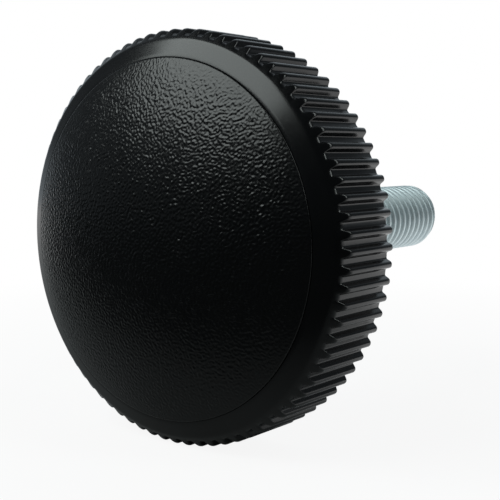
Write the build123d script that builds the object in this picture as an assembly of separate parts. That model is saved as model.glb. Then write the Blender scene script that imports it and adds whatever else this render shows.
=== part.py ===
from build123d import *
from math import pi, radians, tan
import os

# Knurled clamping knob: a moulded head with a domed face, and a steel stud moulded into its hub.
# The knob's axis is Y. The domed face looks along -Y, the hub's seat face lies at Y = 0,
# and the stud runs along +Y.

# Grip rim
grip_diameter = 50.0        # over the crowns of the ribs
grip_length = 9.1           # length of a crown
rib_count = 80
rib_depth = 0.75            # crown to groove
rib_crown_width = 0.3       # flat along the top of a rib
rib_edge_width = 0.18       # chamfers that round the top off
rib_edge_drop = 0.12
rib_groove_width = 0.35     # flat along the bottom of a groove
rib_back_chamfer = 0.25
rib_end_bevel = 45.0        # degrees to the axis, at the front ends of the ribs
rib_end_step = 0.1          # from the edge of the shoulder to the feet of those bevels
rib_sink = 0.5              # of a rib's foot into the head
rim_wall = 3.0              # from the bottom of a groove to the inside of the rim

# Face
shoulder_height = 1.75      # from the ribs' front ends to the edge of the domed face
shoulder_width = 3.5        # from the crowns to the edge of the domed face
shoulder_corner = 1.1       # from the crowns to the shoulder's corner, before it is rounded
shoulder_round = 1.8        # rounding of that corner
face_step = 0.1             # the grained face stands proud of the shoulder
face_sink = 1.0             # of the face's foot into the head
dome_rise = 4.4
face_wall = 3.0

# Underside
hub_diameter = 20.0
hub_height = 10.0           # from the back ends of the ribs to the seat face
hub_chamfer = 0.6
relief_diameter = 11.0      # recess in the seat face that clears the start of the thread
relief_depth = 0.5
web_count = 6
web_thickness = 2.0
web_recess = 1.0            # from the back ends of the ribs to the webs
pocket_draft = 1.5          # degrees, on the walls of the hub and the rim

# Stud
stud_diameter = 10.0
stud_length = 40.0          # free length, from the seat face
stud_tip_chamfer = 1.2
neck_diameter = 9.0         # plain length inside the hub: the blank of a rolled thread
anchor_width = 13.0         # across the flats of the moulded-in head
anchor_length = 9.0
anchor_depth = 6.0          # from the seat face to the moulded-in head
anchor_groove_width = 2.5
anchor_groove_depth = 1.0
moulded_gap = 0.0           # the head is moulded round the stud, so they touch

# Sizes that follow from those above. Stations along the axis are Y values.
crown_radius = grip_diameter / 2
root_radius = crown_radius - rib_depth
rim_inner_radius = root_radius - rim_wall
face_radius = crown_radius - shoulder_width
hub_radius = hub_diameter / 2
relief_radius = relief_diameter / 2
dome_radius = (face_radius**2 + dome_rise**2) / (2 * dome_rise)

rib_back = -hub_height
web_back = rib_back - web_recess
rib_front = rib_back - grip_length
face_edge = rib_front - shoulder_height
dome_top = face_edge - face_step - dome_rise
dome_centre = dome_top + dome_radius

pitch = 2 * pi * root_radius / rib_count
bevel_slope = 1 / tan(radians(rib_end_bevel))


def across_axis(station):
    """Sketch plane across the axis, with its normal toward the face."""
    return Plane.XZ.offset(-station)


def rib_section():
    """Section of a rib along +X, down to its foot in the head."""
    top = rib_crown_width / 2
    edge = top + rib_edge_width
    lean = ((pitch - rib_groove_width) / 2 - edge) / (rib_depth - rib_edge_drop)
    foot = edge + (rib_depth - rib_edge_drop + rib_sink) * lean
    half = [(root_radius - rib_sink, foot), (crown_radius - rib_edge_drop, edge), (crown_radius, top)]
    other_half = [(radius, -width) for radius, width in reversed(half)]
    return make_face(Polyline(*half, *other_half, close=True))


def rib_side_view():
    """Side of a rib: a chamfer at its back end, and a bevel at its front end that stops inside the head."""
    bevel_foot = root_radius - rib_end_step / 2
    bevel_end = rib_front - (crown_radius - bevel_foot) * bevel_slope
    return make_face(
        Polyline(
            (root_radius - rib_sink, rib_back),
            (crown_radius - rib_back_chamfer, rib_back),
            (crown_radius, rib_back - rib_back_chamfer),
            (crown_radius, rib_front),
            (bevel_foot, bevel_end),
            (root_radius - rib_sink, bevel_end),
            close=True,
        )
    )


def grip_ribs():
    """All the ribs of the grip: a section that is trimmed to its side view, and turned round the axis."""
    bar = extrude(across_axis(rib_back) * rib_section(), amount=rib_back - face_edge)
    rib = bar & extrude(rib_side_view(), amount=pitch, both=True)
    return [Rot(0, 360 * n / rib_count, 0) * rib for n in range(rib_count)]


def turned_head():
    """Turned shape of the head and its hub, inside the ribs and up to the edge of the face."""
    shoulder_edge = (crown_radius - shoulder_corner, rib_front - shoulder_corner * bevel_slope)
    profile = make_face(
        Polyline(
            (0, face_edge),
            (face_radius, face_edge),
            shoulder_edge,
            (root_radius, rib_front - rib_depth * bevel_slope - rib_end_step),
            (root_radius, rib_back),
            (hub_radius, rib_back),
            (hub_radius, -hub_chamfer),
            (hub_radius - hub_chamfer, 0),
            (relief_radius, 0),
            (relief_radius, -relief_depth),
            (0, -relief_depth),
            close=True,
        )
    )
    corner = profile.vertices().sort_by_distance(shoulder_edge)[0]
    return revolve(fillet(corner, radius=shoulder_round), axis=Axis.Y)


def domed(solid, radius):
    """The part of a solid that lies inside a ball round the dome's centre."""
    return solid & Pos(0, dome_centre, 0) * Sphere(radius)


def grained_face():
    """Domed disc that carries the grain, with its foot sunk in the head."""
    foot = face_edge + face_sink
    return domed(extrude(across_axis(foot) * Circle(face_radius), amount=foot - dome_top), dome_radius)


def underside_ring():
    """Hollow between the hub and the rim: drafted walls, and a floor that follows the dome."""
    depth = rib_back - dome_top
    draft_lean = depth * tan(radians(pocket_draft))
    walls = make_face(
        Polyline(
            (hub_radius, rib_back),
            (rim_inner_radius, rib_back),
            (rim_inner_radius - draft_lean, dome_top),
            (hub_radius + draft_lean, dome_top),
            close=True,
        )
    )
    return domed(revolve(walls, axis=Axis.Y), dome_radius - face_wall)


def webs():
    """Radial webs that stiffen the face, a little shorter than the rim."""
    height = web_back - dome_top
    web = Pos(rim_inner_radius / 2, web_back - height / 2, 0) * Box(rim_inner_radius, height, web_thickness)
    return [Rot(0, 360 * n / web_count, 0) * web for n in range(web_count)]


def threaded_stud(gap=0.0):
    """Stud with its anchor head, or the space for it when a gap is given."""
    anchor_end = -anchor_depth - anchor_length - gap
    flats_radius = anchor_width / 2 + gap
    anchor = extrude(
        across_axis(-anchor_depth + gap) * RegularPolygon(flats_radius, 6, major_radius=False),
        amount=anchor_length + 2 * gap,
    )
    groove_station = -anchor_depth - (anchor_length - anchor_groove_width) / 2 - gap
    groove_outline = Circle(anchor_width) - Circle(flats_radius - anchor_groove_depth)
    anchor -= extrude(across_axis(groove_station) * groove_outline, amount=anchor_groove_width - 2 * gap)

    neck = extrude(across_axis(0) * Circle(neck_diameter / 2 + gap), amount=-anchor_end)
    shank = extrude(across_axis(stud_length) * Circle(stud_diameter / 2), amount=stud_length)
    tip = shank.edges().sort_by(Axis.Y)[-1]
    return anchor + neck + chamfer(tip, stud_tip_chamfer)


def knob_body():
    """Moulded head: ribbed rim, shoulder, domed face, hub and cored-out underside."""
    head = turned_head() + grained_face() - (underside_ring() - webs())
    head -= threaded_stud(moulded_gap)
    return head + grip_ribs()


os.makedirs("parts", exist_ok=True)
export_step(knob_body(), "parts/knob_body.step")
export_step(threaded_stud(), "parts/threaded_stud.step")
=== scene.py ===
from math import atan2, cos, pi, radians, sin, sqrt, tan

import bpy
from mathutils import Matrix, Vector


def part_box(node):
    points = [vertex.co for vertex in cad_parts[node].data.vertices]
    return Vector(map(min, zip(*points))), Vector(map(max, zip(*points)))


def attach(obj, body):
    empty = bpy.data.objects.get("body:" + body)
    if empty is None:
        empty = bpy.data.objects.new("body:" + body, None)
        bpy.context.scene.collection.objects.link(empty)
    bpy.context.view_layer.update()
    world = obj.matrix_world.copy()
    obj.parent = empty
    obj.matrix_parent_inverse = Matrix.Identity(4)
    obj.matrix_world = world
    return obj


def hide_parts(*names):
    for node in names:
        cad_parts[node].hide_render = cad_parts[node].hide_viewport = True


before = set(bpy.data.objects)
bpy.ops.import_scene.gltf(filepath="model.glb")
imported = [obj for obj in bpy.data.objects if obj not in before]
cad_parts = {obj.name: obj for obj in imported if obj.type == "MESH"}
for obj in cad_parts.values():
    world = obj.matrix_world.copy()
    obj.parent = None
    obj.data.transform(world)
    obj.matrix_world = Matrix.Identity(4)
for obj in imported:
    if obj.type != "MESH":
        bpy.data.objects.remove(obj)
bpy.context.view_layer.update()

MM = 0.001

# Sizes read from the solids
head_low, head_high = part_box("knob_body")
stud_low, stud_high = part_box("threaded_stud")
crown_radius = head_high.x
dome_top = head_low.y
stud_tip = stud_high.y
anchor_end = stud_low.y
anchor_width = stud_high.z - stud_low.z

# Grip rim
rib_count = 80
rib_depth = 0.75 * MM
rib_crown_width = 0.62 * MM
rib_crown_round = 0.42 * MM
rib_groove_round = 0.28 * MM
rib_lean = 20.0             # degrees, of a rib's flanks
rib_end_round = 1.0 * MM
rib_back_round = 0.22 * MM
rib_back = -10.0 * MM
rib_front = -18.65 * MM
rim_wall = 3.0 * MM

# Shoulder and face
face_radius = 21.5 * MM
face_edge = -20.85 * MM
face_step = 0.1 * MM
shoulder_edge = (23.65 * MM, -19.88 * MM)
shoulder_round = 1.4 * MM
face_gap = 0.04 * MM
face_gap_depth = 0.2 * MM
gap_foot_round = 0.05 * MM
gap_edge_round = 0.08 * MM
face_wall = 3.0 * MM

# Grain
grain_rings = 177           # rings of points from the middle to the edge
grain_spacing = 0.52 * MM
grain_height = 0.11 * MM
grain_margin = 2.5 * MM
grain_bend = 0.4            # how far the worms are bent, in spacings
grain_swirl = 0.45          # bends in one spacing

# Underside
hub_radius = 10.0 * MM
hub_round = 0.6 * MM
relief_radius = 5.5 * MM
relief_depth = 0.5 * MM
relief_round = 0.1 * MM
bore_radius = 4.55 * MM
anchor_depth = 6.0 * MM
anchor_clearance = 0.05 * MM
floor_round = 1.0 * MM
pocket_draft = tan(radians(1.5))
web_count = 6
web_thickness = 2.0 * MM
web_recess = 1.0 * MM
web_round = 0.3 * MM

# Stud
stud_radius = 5.0 * MM
neck_radius = 4.5 * MM
thread_pitch = 1.5 * MM
thread_depth = 0.62 * MM
thread_runout = 3.0 * MM
thread_columns = 64         # points round one turn
thread_rows = 16            # points along one pitch
thread_crest = 1 / 16       # half of the flat crest, as a share of the pitch
first_turn_depth = 0.25     # where the thread starts, as a share of its full depth
spare_turns = 5             # turns past both ends, which close them
smallest_ring = 0.05 * MM   # a thinner ring closes to a point
tip_chamfer = 1.2 * MM
neck_share = 0.6            # of the hub's length over the anchor
anchor_groove_width = 2.5 * MM
anchor_groove_depth = 1.0 * MM

# Points closer than this are joined
merge_distance = 0.0002 * MM

# Studio
softbox_distance = 0.35
softbox_tint = (0.92, 1.0, 0.98)
camera_place = (0.07976, -0.10631, 0.01070)
camera_drop = 5.735         # degrees that it looks down
camera_turn = 37.911
camera_lens = 71.2

# Sizes that follow from those above
root_radius = crown_radius - rib_depth
rim_inner_radius = root_radius - rim_wall
web_back = rib_back - web_recess
dome_rise = face_edge - face_step - dome_top
dome_radius = (face_radius**2 + dome_rise**2) / (2 * dome_rise)
dome_centre = dome_top + dome_radius
rib_pitch = 2 * pi / rib_count


def ball_station(radius, ball_radius):
    """Station of a ball round the dome's centre, at a distance from the axis."""
    return dome_centre - sqrt(ball_radius**2 - radius**2)


def rounded(corners):
    """Points of a path with rounded corners. A corner is a radius, a station, its rounding and its steps."""
    points = []
    for i, (radius, station, rounding, steps) in enumerate(corners):
        here = Vector((radius, station))
        if steps == 0:
            points.append(here)
            continue
        before = Vector(corners[i - 1][:2]) - here
        after = Vector(corners[i + 1][:2]) - here
        turn = pi - before.angle(after)
        reach = min(rounding * tan(turn / 2), before.length / 2, after.length / 2)
        start = here + before.normalized() * reach
        end = here + after.normalized() * reach
        for step in range(steps + 1):
            share = step / steps
            points.append(start.lerp(here, share).lerp(here.lerp(end, share), share))
    return points


def even(start, end, steps):
    """Plain points between two places on a path, without the ends."""
    return [(*start.lerp(end, step / steps), 0, 0) for step in range(1, steps)]


def rib_section():
    """Distance from the axis and turn of each point of one rib, from a groove to the next groove."""
    crown = rib_crown_width / 2
    foot = crown + rib_depth * tan(radians(rib_lean))
    groove = root_radius * tan(rib_pitch / 2)
    half = [(root_radius, foot, rib_groove_round, 3), (crown_radius, crown, rib_crown_round, 4)]
    other_half = [(radius, -width, rounding, steps) for radius, width, rounding, steps in reversed(half)]
    points = rounded([(root_radius, groove, 0, 0), *half, *other_half, (root_radius, -groove, 0, 0)])
    return [(point.length, atan2(point.y, point.x)) for point in reversed(points)]


def head_outline(rib_radius):
    """Half section of the head at one turn of the rim, from the middle of its front round to its bore."""
    gap_floor = face_edge + face_gap_depth
    bevel = (rib_front - shoulder_edge[1]) / (crown_radius - shoulder_edge[0])
    bevel_end = rib_front - (crown_radius - rib_radius) * bevel
    floor_ball = dome_radius - face_wall
    rim_foot = rim_inner_radius - (rib_back - dome_top) * pocket_draft / 2
    hub_foot = hub_radius + (rib_back - dome_top) * pocket_draft
    rim_floor = ball_station(rim_foot, floor_ball)
    hub_floor = ball_station(hub_foot, floor_ball)
    floor_steps = 5
    floor = []
    for step in range(1, floor_steps):
        radius = rim_foot + (hub_foot - rim_foot) * step / floor_steps
        floor.append((radius, ball_station(radius, floor_ball), 0, 0))
    anchor_room = anchor_width / 2 / cos(pi / 6) + anchor_clearance
    return rounded(
        [
            (0, gap_floor, 0, 0),
            (face_radius / 2, gap_floor, 0, 0),
            (face_radius, gap_floor, gap_foot_round, 1),
            (face_radius, face_edge, gap_edge_round, 2),
            *even(Vector((face_radius, face_edge)), Vector(shoulder_edge), 4),
            (*shoulder_edge, shoulder_round, 4),
            (rib_radius, bevel_end, rib_end_round, 5),
            (rib_radius, (rib_front + rib_back) / 2, 0, 0),
            (rib_radius, rib_back, rib_back_round, 3),
            (rim_inner_radius, rib_back, rib_back_round, 3),
            (rim_foot, rim_floor, floor_round, 4),
            *floor,
            (hub_foot, hub_floor, floor_round, 4),
            (hub_radius, rib_back, 0, 0),
            (hub_radius, 0, hub_round, 4),
            (relief_radius, 0, relief_round, 1),
            (relief_radius, -relief_depth, 0, 0),
            (bore_radius, -relief_depth, 0, 0),
            (bore_radius, -anchor_depth + anchor_clearance, 0, 0),
            (anchor_room, -anchor_depth + anchor_clearance, 0, 0),
            (anchor_room, anchor_end - anchor_clearance, 0, 0),
            (0, anchor_end - anchor_clearance, 0, 0),
        ]
    )


def around(radius, station, turn):
    """Point at a distance from the axis, a station along it and a turn from +X toward +Z."""
    return (radius * cos(turn), station, radius * sin(turn))


def mesh_object(name, vertices, faces):
    """New object in the scene with a mesh of its own, smooth shaded."""
    mesh = bpy.data.meshes.new(name)
    mesh.from_pydata(vertices, [], faces)
    mesh.shade_smooth()
    piece = bpy.data.objects.new(name, mesh)
    bpy.context.scene.collection.objects.link(piece)
    return piece


def skin_faces(columns, rows):
    """Faces between neighbouring columns of rows + 1 points each, which share a pole at either end."""
    faces = []
    for column in range(columns):
        a = column * (rows + 1)
        b = a + rows + 1
        faces.append((a, a + 1, b + 1))
        faces += [(a + row, a + row + 1, b + row + 1, b + row) for row in range(1, rows - 1)]
        faces.append((a + rows - 1, a + rows, b + rows - 1))
    return faces


def head_cell():
    """Wedge of the head's skin that holds one rib."""
    columns = [(head_outline(radius), turn) for radius, turn in rib_section()]
    vertices = [around(point.x, point.y, turn) for outline, turn in columns for point in outline]
    rows = len(columns[0][0]) - 1
    return mesh_object("head_cell", vertices, skin_faces(len(columns) - 1, rows))


def web_cell():
    """One web of the underside, from inside the hub to inside the rim, with rounded edges."""
    start = hub_radius - web_round * 2
    end = rim_inner_radius + rim_wall / 3
    floor_ball = dome_radius - face_wall / 2
    half = web_thickness / 2
    lengthwise = 12
    vertices = []
    for step in range(lengthwise + 1):
        radius = start + (end - start) * step / lengthwise
        foot = ball_station(radius, floor_ball)
        outline = rounded(
            [
                (-half, foot, 0, 0),
                (-half, web_back, web_round, 3),
                (half, web_back, web_round, 3),
                (half, foot, 0, 0),
            ]
        )
        vertices += [(radius, point.y, point.x) for point in outline]
    width = len(outline)
    faces = []
    for step in range(lengthwise):
        for k in range(width):
            a, b = step * width + k, step * width + (k + 1) % width
            faces.append((a, b, b + width, a + width))
    faces.append(tuple(reversed(range(width))))
    faces.append(tuple(range(lengthwise * width, (lengthwise + 1) * width)))
    return mesh_object("web_cell", vertices, faces)


def face_disc():
    """Plain domed disc under the grain: rings of even triangles, a skirt and a flat back."""
    radius = face_radius - face_gap
    vertices = [(0, ball_station(0, dome_radius), 0)]
    faces = []
    inner_start = 0
    for ring in range(1, grain_rings + 1):
        start = len(vertices)
        distance = radius * ring / grain_rings
        count = 6 * ring
        for k in range(count):
            vertices.append(around(distance, ball_station(distance, dome_radius), 2 * pi * k / count))
        inner_count = max(6 * (ring - 1), 1)
        for side in range(6):
            for k in range(ring):
                a = start + side * ring + k
                b = start + (side * ring + k + 1) % count
                inner = inner_start + (side * (ring - 1) + k) % inner_count
                faces.append((a, b, inner))
                if k < ring - 1:
                    next_inner = inner_start + (side * (ring - 1) + k + 1) % inner_count
                    faces.append((inner, b, next_inner))
        inner_start = start
    count = 6 * grain_rings
    for station in (face_edge - face_step / 4, face_edge + face_gap_depth * 0.9):
        vertices += [around(radius, station, 2 * pi * k / count) for k in range(count)]
    edge = len(vertices) - 3 * count
    for band in (edge, edge + count):
        for k in range(count):
            n = (k + 1) % count
            faces.append((band + k, band + count + k, band + count + n, band + n))
    vertices.append((0, face_edge + face_gap_depth * 0.9, 0))
    back = edge + 2 * count
    for k in range(count):
        faces.append((back + k, len(vertices) - 1, back + (k + 1) % count))
    return mesh_object("face_disc", vertices, faces)


def anchor():
    """Neck and moulded-in head of the stud: a hexagon with a locking groove."""
    columns = 48
    groove_front = anchor_end + (-anchor_depth - anchor_end - anchor_groove_width) / 2
    groove_back = groove_front + anchor_groove_width
    groove_radius = anchor_width / 2 - anchor_groove_depth
    neck_back = -anchor_depth / 2
    rings = [
        (0, neck_back, False),
        (neck_radius, neck_back, False),
        (neck_radius, -anchor_depth, False),
        (anchor_width / 2, -anchor_depth, True),
        (anchor_width / 2, groove_back, True),
        (groove_radius, groove_back, False),
        (groove_radius, groove_front, False),
        (anchor_width / 2, groove_front, True),
        (anchor_width / 2, anchor_end, True),
        (0, anchor_end, False),
    ]
    sixth = pi / 3
    vertices = []
    for column in range(columns + 1):
        turn = 2 * pi * column / columns
        stretch = 1 / cos(turn % sixth - sixth / 2)
        for radius, station, six_sided in rings:
            vertices.append(around(radius * (stretch if six_sided else 1), station, -turn))
    return mesh_object("anchor", vertices, skin_faces(columns, len(rings) - 1))


class Tree:
    """Short calls that add nodes to a Geometry Nodes or shader tree."""

    def __init__(self, tree):
        self.tree = tree

    def add(self, kind, inputs=None, **settings):
        """New node, with its settings, and its inputs given as values or as other nodes' outputs."""
        node = self.tree.nodes.new(kind)
        for setting, value in settings.items():
            setattr(node, setting, value)
        for socket, value in (inputs or {}).items():
            if isinstance(value, bpy.types.NodeSocket):
                self.tree.links.new(value, node.inputs[socket])
            else:
                node.inputs[socket].default_value = value
        return node

    def math(self, operation, *values):
        """Output of a Math node."""
        return self.add("ShaderNodeMath", dict(enumerate(values)), operation=operation).outputs[0]

    def vector(self, operation, inputs, output="Vector"):
        """Output of a Vector Math node."""
        return self.add("ShaderNodeVectorMath", inputs, operation=operation).outputs[output]

    def spread(self, value, start, end, low, high, smooth=False):
        """Value mapped from one range to another, and held inside the new one."""
        inputs = {"Value": value, "From Min": start, "From Max": end, "To Min": low, "To Max": high}
        kind = "SMOOTHSTEP" if smooth else "LINEAR"
        return self.add("ShaderNodeMapRange", inputs, interpolation_type=kind).outputs[0]


def geometry_tree(name, sizes):
    """New Geometry Nodes tree with an input for each size, and the outputs of its input node."""
    tree = bpy.data.node_groups.new(name, "GeometryNodeTree")
    tree.interface.new_socket("Geometry", in_out="INPUT", socket_type="NodeSocketGeometry")
    tree.interface.new_socket("Geometry", in_out="OUTPUT", socket_type="NodeSocketGeometry")
    for size, kind in sizes.items():
        tree.interface.new_socket(size, in_out="INPUT", socket_type=kind)
    nodes = Tree(tree)
    return nodes, nodes.add("NodeGroupInput").outputs


def close_tree(nodes, geometry, material):
    """Ends a tree with real geometry that carries its material."""
    real = nodes.add("GeometryNodeRealizeInstances", {"Geometry": geometry}).outputs[0]
    merge = {"Geometry": real, "Distance": merge_distance}
    merged = nodes.add("GeometryNodeMergeByDistance", merge).outputs[0]
    dressed = nodes.add("GeometryNodeSetMaterial", {"Geometry": merged, "Material": material}).outputs[0]
    nodes.add("NodeGroupOutput", {"Geometry": dressed})
    return nodes.tree


def made(name, base, tree, values, sharp_angle):
    """Runs a tree on an object and keeps the result as a plain mesh under a new name."""
    modifier = base.modifiers.new("maker", "NODES")
    modifier.node_group = tree
    for item in tree.interface.items_tree:
        if item.in_out == "INPUT" and item.name in values:
            modifier[item.identifier] = values[item.name]
    graph = bpy.context.evaluated_depsgraph_get()
    mesh = bpy.data.meshes.new_from_object(base.evaluated_get(graph))
    mesh.name = name
    mesh.shade_smooth()
    mesh.set_sharp_from_angle(angle=radians(sharp_angle))
    base.modifiers.remove(modifier)
    old = base.data
    base.data = mesh
    base.name = name
    bpy.data.meshes.remove(old)
    return base


def repeat_tree(material):
    """Repeats a piece round the knob's axis."""
    nodes, given = geometry_tree("Repeat Round Axis", {"Count": "NodeSocketInt"})
    whole = nodes.add("GeometryNodeGeometryToInstance")
    nodes.tree.links.new(given["Geometry"], whole.inputs[0])
    copies = nodes.add(
        "GeometryNodeDuplicateElements",
        {"Geometry": whole.outputs[0], "Amount": given["Count"]},
        domain="INSTANCE",
    )
    whole_turns = nodes.math("MULTIPLY", copies.outputs["Duplicate Index"], 2 * pi)
    turn = nodes.math("DIVIDE", whole_turns, given["Count"])
    rotation = nodes.add("ShaderNodeCombineXYZ", {"Y": turn}).outputs[0]
    turned = nodes.add(
        "GeometryNodeRotateInstances",
        {"Instances": copies.outputs["Geometry"], "Rotation": rotation, "Local Space": False},
    )
    return close_tree(nodes, turned.outputs[0], material)


def grain_tree(material):
    """Raises a leather-like grain on the front of the face that fades out at the edge."""
    sizes = {
        "Spacing": "NodeSocketFloat",
        "Height": "NodeSocketFloat",
        "Radius": "NodeSocketFloat",
        "Margin": "NodeSocketFloat",
        "Front": "NodeSocketFloat",
    }
    nodes, given = geometry_tree("Moulded Grain", sizes)
    place = nodes.add("GeometryNodeInputPosition").outputs[0]
    axes = nodes.add("ShaderNodeSeparateXYZ", {"Vector": place}).outputs
    flat = nodes.add("ShaderNodeCombineXYZ", {"X": axes["X"], "Y": axes["Z"]}).outputs[0]
    grain = add_grain(nodes, flat, given["Spacing"])
    distance = nodes.vector("LENGTH", {0: flat}, "Value")
    inner = nodes.math("SUBTRACT", given["Radius"], given["Margin"])
    fade = nodes.spread(distance, inner, given["Radius"], 1.0, 0.0, smooth=True)
    front = nodes.math("LESS_THAN", axes["Y"], given["Front"])
    faded = nodes.math("MULTIPLY", grain, fade)
    lift = nodes.math("MULTIPLY", faded, nodes.math("MULTIPLY", front, given["Height"]))
    offset = nodes.add("ShaderNodeCombineXYZ", {"Y": nodes.math("MULTIPLY", lift, -1.0)}).outputs[0]
    raised = nodes.add("GeometryNodeSetPosition", {"Geometry": given["Geometry"], "Offset": offset})
    return close_tree(nodes, raised.outputs[0], material)


def add_grain(nodes, flat, spacing):
    """Height of the grain at a flat place, about -1 to 1: short worms that bend and vary in strength."""
    scale = nodes.math("DIVIDE", 1.0, spacing)
    swirl = nodes.add(
        "ShaderNodeTexNoise",
        {"Vector": flat, "Scale": nodes.math("MULTIPLY", scale, grain_swirl), "Detail": 1.0},
        noise_dimensions="2D",
    )
    middle = (0.5, 0.5, 0.5)
    centred = nodes.vector("SUBTRACT", {0: swirl.outputs["Color"], 1: middle})
    bend = nodes.vector("SCALE", {0: centred, "Scale": grain_bend})
    grown = nodes.vector("SCALE", {0: flat, "Scale": scale})
    place = nodes.vector("ADD", {0: grown, 1: bend})
    worms = nodes.add(
        "ShaderNodeTexGabor",
        {"Vector": place, "Scale": 1.0, "Frequency": 1.0, "Anisotropy": 0.0},
        gabor_type="2D",
    )
    return nodes.math("MULTIPLY", nodes.math("SUBTRACT", worms.outputs["Value"], 0.5), 2.0)


def thread_tree(material):
    """Skin of the stud: rows that follow the thread's helix, ended by a chamfered tip and a plain neck."""
    sizes = {
        "Radius": "NodeSocketFloat",
        "Neck Radius": "NodeSocketFloat",
        "Pitch": "NodeSocketFloat",
        "Depth": "NodeSocketFloat",
        "Length": "NodeSocketFloat",
        "Neck Length": "NodeSocketFloat",
        "Run-out": "NodeSocketFloat",
        "Tip Chamfer": "NodeSocketFloat",
        "Turns": "NodeSocketInt",
    }
    nodes, given = geometry_tree("Stud Thread", sizes)
    rows = nodes.math("MULTIPLY", given["Turns"], thread_rows)
    points = {"Vertices X": thread_columns + 1, "Vertices Y": nodes.math("ADD", rows, 1)}
    grid = nodes.add("GeometryNodeMeshGrid", {"Size X": 1.0, "Size Y": 1.0, **points})
    place = nodes.add("GeometryNodeInputPosition").outputs[0]
    axes = nodes.add("ShaderNodeSeparateXYZ", {"Vector": place}).outputs
    turn_share = nodes.math("ADD", axes["X"], 0.5)
    along = nodes.math("MULTIPLY", nodes.math("ADD", axes["Y"], 0.5), given["Turns"])
    neck_turns = nodes.math("CEIL", nodes.math("DIVIDE", given["Neck Length"], given["Pitch"]))
    start = nodes.math("SUBTRACT", nodes.math("MULTIPLY", neck_turns, -1.0), 2.0)
    course = nodes.math("ADD", nodes.math("ADD", along, turn_share), start)
    station = nodes.math("MULTIPLY", course, given["Pitch"])
    neck_end = nodes.math("MULTIPLY", given["Neck Length"], -1.0)
    held = nodes.math("MAXIMUM", nodes.math("MINIMUM", station, given["Length"]), neck_end)

    crest_side = nodes.math("SUBTRACT", nodes.math("FRACT", nodes.math("ADD", along, 0.5)), 0.5)
    phase = nodes.math("ABSOLUTE", crest_side)
    cut = nodes.spread(phase, thread_crest, 0.5 - thread_crest, 0.0, 1.0, smooth=True)
    full = nodes.spread(station, 0.0, given["Run-out"], first_turn_depth, 1.0)
    depth = nodes.math("MULTIPLY", nodes.math("MULTIPLY", cut, full), given["Depth"])
    threaded = nodes.math("SUBTRACT", given["Radius"], depth)
    to_tip = nodes.math("SUBTRACT", given["Length"], held)
    tip = nodes.math("ADD", nodes.math("SUBTRACT", given["Radius"], given["Tip Chamfer"]), to_tip)
    shank = nodes.math("MINIMUM", threaded, tip)
    neck_start = nodes.math("MULTIPLY", given["Pitch"], -0.5 / thread_rows)
    in_neck = nodes.math("LESS_THAN", station, neck_start)
    neck_step = nodes.math("MULTIPLY", nodes.math("SUBTRACT", given["Neck Radius"], shank), in_neck)
    radius = nodes.math("ADD", shank, neck_step)
    past_tip = nodes.spread(nodes.math("SUBTRACT", station, given["Length"]), 0.0, given["Pitch"], 1.0, 0.0)
    past_neck = nodes.spread(nodes.math("SUBTRACT", neck_end, station), 0.0, given["Pitch"], 1.0, 0.0)
    radius = nodes.math("MULTIPLY", radius, nodes.math("MULTIPLY", past_tip, past_neck))
    radius = nodes.math("MULTIPLY", radius, nodes.math("GREATER_THAN", radius, smallest_ring))

    turn = nodes.math("MULTIPLY", turn_share, 2 * pi)
    across = nodes.math("MULTIPLY", radius, nodes.math("SINE", turn))
    up = nodes.math("MULTIPLY", radius, nodes.math("COSINE", turn))
    point = nodes.add("ShaderNodeCombineXYZ", {"X": across, "Y": held, "Z": up}).outputs[0]
    skin = nodes.add("GeometryNodeSetPosition", {"Geometry": grid.outputs["Mesh"], "Position": point})
    joined = nodes.add("GeometryNodeJoinGeometry")
    nodes.tree.links.new(skin.outputs[0], joined.inputs[0])
    nodes.tree.links.new(given["Geometry"], joined.inputs[0])
    return close_tree(nodes, joined.outputs[0], material)


def finish_group():
    """Shared effect: slow patches and fine specks that vary a surface's gloss and its height."""
    tree = bpy.data.node_groups.new("Patchy Finish", "ShaderNodeTree")
    for name, kind in (
        ("Patch Scale", "NodeSocketFloat"),
        ("Speck Scale", "NodeSocketFloat"),
        ("Roughness Low", "NodeSocketFloat"),
        ("Roughness High", "NodeSocketFloat"),
    ):
        tree.interface.new_socket(name, in_out="INPUT", socket_type=kind)
    tree.interface.new_socket("Roughness", in_out="OUTPUT", socket_type="NodeSocketFloat")
    tree.interface.new_socket("Height", in_out="OUTPUT", socket_type="NodeSocketFloat")
    nodes = Tree(tree)
    given = nodes.add("NodeGroupInput").outputs
    place = nodes.add("ShaderNodeTexCoord").outputs["Object"]
    noise = "ShaderNodeTexNoise"
    patches = nodes.add(noise, {"Vector": place, "Scale": given["Patch Scale"], "Detail": 3.0}).outputs[0]
    specks = nodes.add(noise, {"Vector": place, "Scale": given["Speck Scale"], "Detail": 4.0}).outputs[0]
    patch_share = nodes.math("MULTIPLY", patches, 0.6)
    mixed = nodes.math("ADD", patch_share, nodes.math("MULTIPLY", specks, 0.4))
    rough = nodes.spread(mixed, 0.3, 0.7, given["Roughness Low"], given["Roughness High"])
    nodes.add("NodeGroupOutput", {"Roughness": rough, "Height": specks})
    return tree


def new_material(name):
    """Empty material with its Principled shader in place."""
    material = bpy.data.materials.new(name)
    material.use_nodes = True
    nodes = Tree(material.node_tree)
    return material, nodes, material.node_tree.nodes["Principled BSDF"]


def add_finish(nodes, group, patch_size, speck_size, low, high):
    """Places the shared finish group in a material, with its two sizes and its range of roughness."""
    finish = nodes.add("ShaderNodeGroup", node_tree=group)
    for socket, value in {
        "Patch Scale": 1 / patch_size,
        "Speck Scale": 1 / speck_size,
        "Roughness Low": low,
        "Roughness High": high,
    }.items():
        finish.inputs[socket].default_value = value
    return finish.outputs


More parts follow.
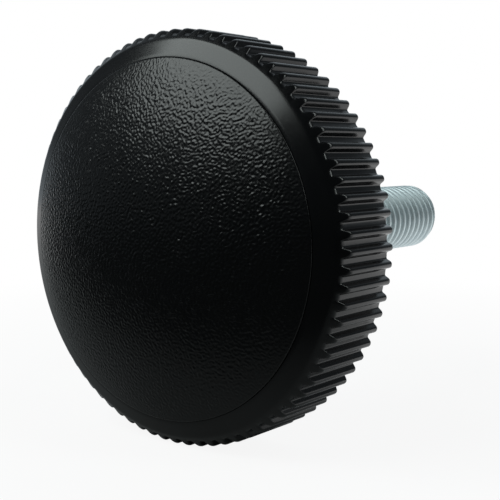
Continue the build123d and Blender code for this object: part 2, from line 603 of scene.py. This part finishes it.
def moulded_plastic(group):
    """Smooth black plastic of the shoulder, the ribs and the underside."""
    material, nodes, shader = new_material("moulded_plastic")
    finish = add_finish(nodes, group, patch_size=6 * MM, speck_size=0.25 * MM, low=0.16, high=0.26)
    relief = {"Height": finish["Height"], "Strength": 0.25, "Distance": 0.004 * MM}
    bump = nodes.add("ShaderNodeBump", relief)
    shader.inputs["Base Color"].default_value = (0.003, 0.0033, 0.0038, 1)
    shader.inputs["IOR"].default_value = 1.5
    nodes.tree.links.new(finish["Roughness"], shader.inputs["Roughness"])
    nodes.tree.links.new(bump.outputs[0], shader.inputs["Normal"])
    return material


def grained_plastic(group):
    """The same plastic with the face's grain, which the bump carries on below the mesh's own steps."""
    material, nodes, shader = new_material("grained_plastic")
    finish = add_finish(nodes, group, patch_size=5 * MM, speck_size=0.18 * MM, low=0.21, high=0.29)
    place = nodes.add("ShaderNodeTexCoord").outputs["Object"]
    axes = nodes.add("ShaderNodeSeparateXYZ", {"Vector": place}).outputs
    flat = nodes.add("ShaderNodeCombineXYZ", {"X": axes["X"], "Y": axes["Z"]}).outputs[0]
    grain = add_grain(nodes, flat, grain_spacing)
    fine = nodes.add("ShaderNodeBump", {"Height": finish["Height"], "Strength": 0.4, "Distance": 0.01 * MM})
    relief = {"Height": grain, "Strength": 0.2, "Distance": grain_height, "Normal": fine.outputs[0]}
    bump = nodes.add("ShaderNodeBump", relief)
    shader.inputs["Base Color"].default_value = (0.003, 0.0034, 0.0038, 1)
    shader.inputs["IOR"].default_value = 1.5
    nodes.tree.links.new(finish["Roughness"], shader.inputs["Roughness"])
    nodes.tree.links.new(bump.outputs[0], shader.inputs["Normal"])
    return material


def zinc_steel(group):
    """Bright zinc plating on steel, a little cloudy and cool in tone."""
    material, nodes, shader = new_material("zinc_steel")
    finish = add_finish(nodes, group, patch_size=2 * MM, speck_size=0.2 * MM, low=0.46, high=0.6)
    cloud = nodes.add("ShaderNodeTexNoise", {"Scale": 1 / (1.5 * MM), "Detail": 3.0})
    nodes.tree.links.new(nodes.add("ShaderNodeTexCoord").outputs["Object"], cloud.inputs["Vector"])
    tone = nodes.add("ShaderNodeMix", {"Factor": cloud.outputs[0]}, data_type="RGBA")
    tone.inputs["A"].default_value = (0.62, 0.73, 0.76, 1)
    tone.inputs["B"].default_value = (0.80, 0.89, 0.91, 1)
    bump = nodes.add("ShaderNodeBump", {"Height": finish["Height"], "Strength": 0.4, "Distance": 0.01 * MM})
    shader.inputs["Metallic"].default_value = 1.0
    nodes.tree.links.new(tone.outputs["Result"], shader.inputs["Base Color"])
    nodes.tree.links.new(finish["Roughness"], shader.inputs["Roughness"])
    nodes.tree.links.new(bump.outputs[0], shader.inputs["Normal"])
    return material


def add_pieces():
    """Builds the shown pieces, puts them on the root body and hides the solids that they stand for."""
    group = finish_group()
    plastic = moulded_plastic(group)
    grained = grained_plastic(group)
    steel = zinc_steel(group)

    repeat = repeat_tree(plastic)
    shell = made("head_shell", head_cell(), repeat, {"Count": rib_count}, sharp_angle=50)
    webs = made("underside_webs", web_cell(), repeat, {"Count": web_count}, sharp_angle=50)
    face = made(
        "grained_face",
        face_disc(),
        grain_tree(grained),
        {
            "Spacing": grain_spacing,
            "Height": grain_height / 2,
            "Radius": face_radius - face_gap,
            "Margin": grain_margin,
            "Front": face_edge - face_step / 2,
        },
        sharp_angle=70,
    )
    neck_length = anchor_depth * neck_share
    stud = made(
        "threaded_stud_skin",
        anchor(),
        thread_tree(steel),
        {
            "Radius": stud_radius,
            "Neck Radius": neck_radius,
            "Pitch": thread_pitch,
            "Depth": thread_depth,
            "Length": stud_tip,
            "Neck Length": neck_length,
            "Run-out": thread_runout,
            "Tip Chamfer": tip_chamfer,
            "Turns": round((stud_tip + neck_length) / thread_pitch) + spare_turns,
        },
        sharp_angle=40,
    )
    for piece in (shell, webs, face):
        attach(piece, "root")
        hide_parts("knob_body")
    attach(stud, "root")
    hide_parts("threaded_stud")


def add_floor():
    """Pale floor under the rim, white to the camera but for the shadow. Painted reflection: other rays see
    it dark in front of the knob, and glossy rays see it glow white behind.
    """
    reach = 2.0
    height = -crown_radius
    sides = ((-reach, -reach), (reach, -reach), (reach, reach), (-reach, reach))
    floor = mesh_object("floor", [(x, y, height) for x, y in sides], [(0, 1, 2, 3)])
    material, nodes, shader = new_material("pale_floor")
    nodes.tree.nodes.remove(shader)
    place = nodes.add("ShaderNodeTexCoord").outputs["Object"]
    path = nodes.add("ShaderNodeLightPath").outputs
    seen = nodes.math("MAXIMUM", path["Is Camera Ray"], path["Is Transmission Ray"])
    behind = nodes.add("ShaderNodeSeparateXYZ", {"Vector": place}).outputs["Y"]
    # Painted reflection: the floor's tone to all but camera rays, dark in front of the knob and pale behind
    # it.
    painted_reflection_tone = nodes.spread(behind, -0.052, 0.035, 0.045, 0.9)
    tone = nodes.math("MAXIMUM", painted_reflection_tone, seen)
    plain = nodes.add("ShaderNodeBsdfDiffuse", {"Color": tone})
    white = nodes.add("ShaderNodeEmission", {"Color": (1, 1, 1, 1), "Strength": 1.0})
    away = nodes.vector("LENGTH", {0: place}, "Value")
    seen_share = nodes.math("MULTIPLY", seen, nodes.spread(away, 0.05, 0.15, 0.9, 1.0))
    # Painted reflection: behind the knob the floor glows white to glossy rays only.
    painted_reflection_glow = nodes.math("MULTIPLY", path["Is Glossy Ray"], nodes.spread(behind, -0.01, 0.04, 0.0, 0.8))
    share = nodes.math("MAXIMUM", seen_share, painted_reflection_glow)
    mixed = nodes.add("ShaderNodeMixShader", {0: share, 1: plain.outputs[0], 2: white.outputs[0]})
    nodes.tree.links.new(mixed.outputs[0], nodes.tree.nodes["Material Output"].inputs["Surface"])
    floor.data.materials.append(material)


def aim(direction):
    """Rotation that points a lamp or camera along a direction."""
    return direction.to_track_quat("-Z", "Y").to_euler()


def toward(azimuth, elevation):
    """Direction from the knob at an azimuth from the front toward the stud's right, and an elevation."""
    turn, rise = radians(azimuth), radians(elevation)
    return Vector((sin(turn) * cos(rise), -cos(turn) * cos(rise), sin(rise)))


def add_softbox(name, azimuth, elevation, width, height, radiance):
    """Rectangular soft lamp that looks at the knob from a direction."""
    lamp = bpy.data.lights.new(name, "AREA")
    lamp.shape = "RECTANGLE"
    lamp.size = width
    lamp.size_y = height
    lamp.energy = radiance * pi * width * height
    lamp.color = softbox_tint
    softbox = bpy.data.objects.new(name, lamp)
    direction = toward(azimuth, elevation)
    softbox.location = direction * softbox_distance
    softbox.rotation_euler = aim(-direction)
    bpy.context.scene.collection.objects.link(softbox)


def add_world():
    """Studio room: white to the rear left, grey above and below behind the knob, and dark in front of it."""
    world = bpy.data.worlds.new("studio")
    bpy.context.scene.world = world
    world.use_nodes = True
    nodes = Tree(world.node_tree)
    direction = nodes.add("ShaderNodeTexCoord").outputs["Generated"]
    axes = nodes.add("ShaderNodeSeparateXYZ", {"Vector": direction}).outputs
    backdrop = nodes.vector("DOT_PRODUCT", {0: direction, 1: toward(-140, 0)}, "Value")
    white = nodes.spread(backdrop, 0.63, 0.74, 0.0, 0.65, smooth=True)
    beside = nodes.spread(axes["X"], -0.6, -0.95, 0.0, 0.2, smooth=True)
    low = nodes.spread(axes["Z"], 0.0, 0.24, 1.0, 0.03, smooth=True)
    rear_left = nodes.spread(axes["X"], -0.4, 0.4, 0.7, 0.1, smooth=True)
    rear_low = nodes.spread(axes["Z"], -0.08, 0.15, 0.36, 0.1, smooth=True)
    front = nodes.spread(axes["X"], -0.7, 0.0, 0.1, 0.035)
    room = nodes.spread(axes["Y"], 0.0, 0.6, front, nodes.math("MAXIMUM", rear_left, rear_low), smooth=True)
    level = nodes.math("MAXIMUM", room, nodes.math("MULTIPLY", nodes.math("MAXIMUM", white, beside), low))
    path = nodes.add("ShaderNodeLightPath").outputs
    level = nodes.math("MAXIMUM", level, path["Is Camera Ray"])
    tint = nodes.add("ShaderNodeMix", {"Factor": path["Is Camera Ray"]}, data_type="RGBA")
    tint.inputs["A"].default_value = (0.82, 0.93, 1.0, 1)
    tint.inputs["B"].default_value = (1.0, 1.0, 1.0, 1)
    sky = world.node_tree.nodes["Background"]
    nodes.tree.links.new(tint.outputs["Result"], sky.inputs["Color"])
    nodes.tree.links.new(level, sky.inputs["Strength"])


def add_camera():
    """Camera at the photograph's place, fitted to the tips of the ribs."""
    camera = bpy.data.cameras.new("camera")
    camera.lens = camera_lens
    camera.sensor_width = 36.0
    camera.clip_start = 0.001
    holder = bpy.data.objects.new("camera", camera)
    holder.location = camera_place
    holder.rotation_euler = (radians(90 - camera_drop), 0, radians(camera_turn))
    bpy.context.scene.collection.objects.link(holder)
    bpy.context.scene.camera = holder


add_pieces()
add_floor()
add_softbox("key_softbox", azimuth=-27, elevation=46, width=0.3, height=0.22, radiance=3.3)
add_softbox("rib_softbox", azimuth=100, elevation=42, width=0.07, height=0.3, radiance=4.0)
add_world()
add_camera()
bpy.context.scene.view_settings.view_transform = "Standard"
